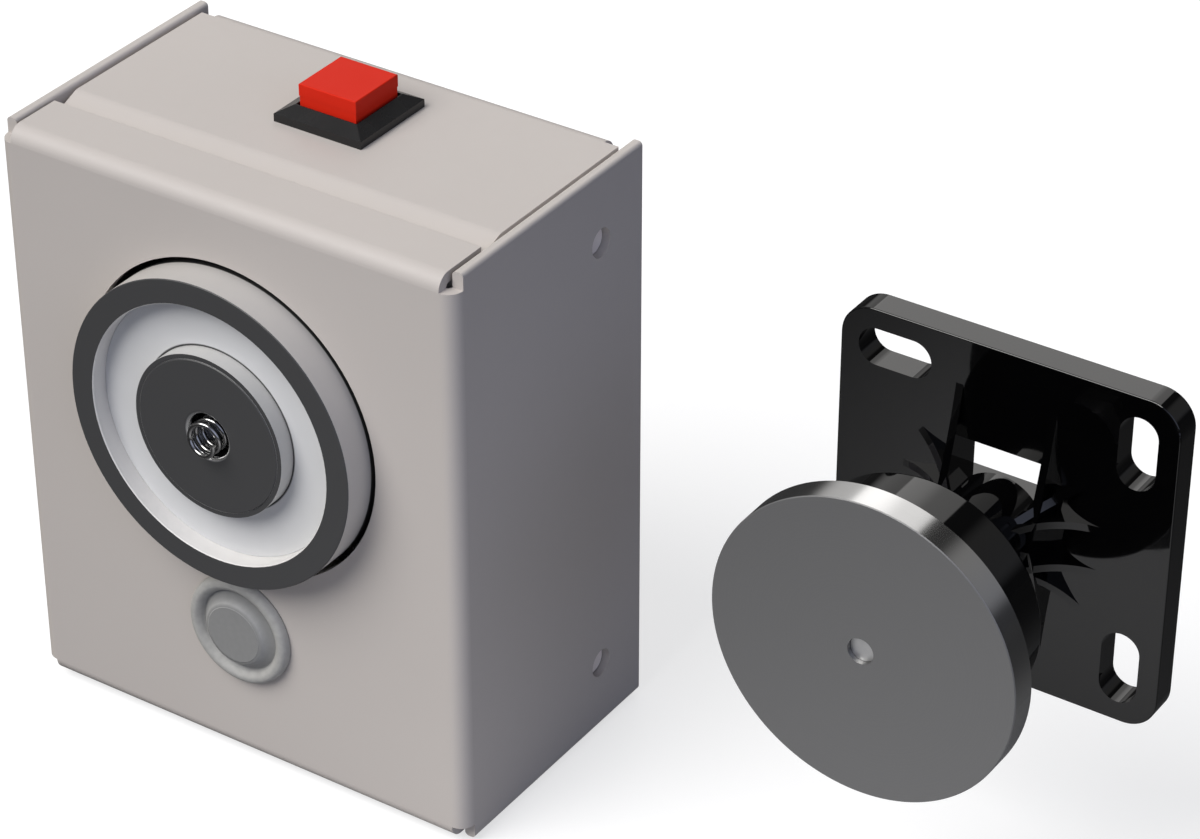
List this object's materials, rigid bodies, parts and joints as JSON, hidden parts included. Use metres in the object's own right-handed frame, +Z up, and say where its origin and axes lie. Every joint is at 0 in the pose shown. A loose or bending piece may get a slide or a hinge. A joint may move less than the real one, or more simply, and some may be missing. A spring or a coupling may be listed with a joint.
{
  "type": "electromagnetic door holder",
  "caption": "Wall-mounted pot magnet in a folded sheet housing with a release button, beside its ball-jointed round armature on a slotted base plate.",
  "frame": {"origin": "centre of the housing's wall screw pattern, on the wall plane", "axes": "+X right along the wall, +Y into the wall, +Z up; both units stand on the plane Y = 0 and face -Y"},
  "size_m": [0.1895, 0.0605, 0.1152],
  "materials": {
    "paint": "fine satin powder paint, light warm grey",
    "pot_steel": "turned steel, dark grey on its faces",
    "bobbin": "moulded, light grey",
    "copper_wire": "enamelled copper wire, wound",
    "resin": "cast resin, light grey",
    "spring_steel": "bright plated wire",
    "zinc_steel": "zinc plated",
    "black_plastic": "satin black",
    "red_plastic": "semi gloss red",
    "tinned_brass": "tinned",
    "grey_plug": "soft matt grey",
    "block_plastic": "translucent white",
    "grommet_rubber": "matt black",
    "gloss_black": "high gloss black",
    "liner_plastic": "slippery, off white",
    "disc_steel": "ground and plated steel"
  },
  "bodies": {
    "holder": {"front_cover": "paint", "back_chassis": "paint", "magnet_pot": "pot_steel", "magnet_core": "pot_steel", "coil_bobbin": "bobbin", "coil_winding": "copper_wire", "coil_resin": "resin", "magnet_bridge": "zinc_steel", "lock_washer": "zinc_steel", "magnet_bolt": "zinc_steel", "button_housing": "black_plastic", "button_spring": "spring_steel", "switch_block": "black_plastic", "switch_lugs": "tinned_brass", "front_plug": "grey_plug", "terminal_block": "block_plastic", "terminal_screws": "zinc_steel", "block_screws": "zinc_steel", "cable_grommet": "grommet_rubber", "armature_base": "gloss_black", "socket_ring": "gloss_black"},
    "ejector": {"ejector_spring": "spring_steel"},
    "button": {"button_cap": "red_plastic", "button_plunger": "black_plastic"},
    "joint_liner": {"ball_liner": "liner_plastic"},
    "armature_head": {"ball_stud": "zinc_steel", "swivel_cup": "gloss_black", "armature_disc": "disc_steel"}
  },
  "joints": [
    {"name": "button_press", "type": "slide", "parent": "holder", "child": "button", "axis": [0, 0, -1], "range_m": [0, 0.002], "stiffness_N_per_m": 600, "deforming": ["button_spring"]},
    {"name": "ejector_push", "type": "slide", "parent": "holder", "child": "ejector", "axis": [0, 1, 0], "range_m": [0, 0.0022], "stiffness_N_per_m": 900, "deforming": ["ejector_spring"]},
    {"name": "armature_tilt", "type": "hinge", "parent": "holder", "child": "joint_liner", "pos_m": [0.115, -0.0259, 0.0111], "axis": [1, 0, 0], "range_deg": [-15, 15]},
    {"name": "armature_swing", "type": "hinge", "parent": "joint_liner", "child": "armature_head", "pos_m": [0.115, -0.0259, 0.0111], "axis": [0, 0, 1], "range_deg": [-15, 15]}
  ]
}
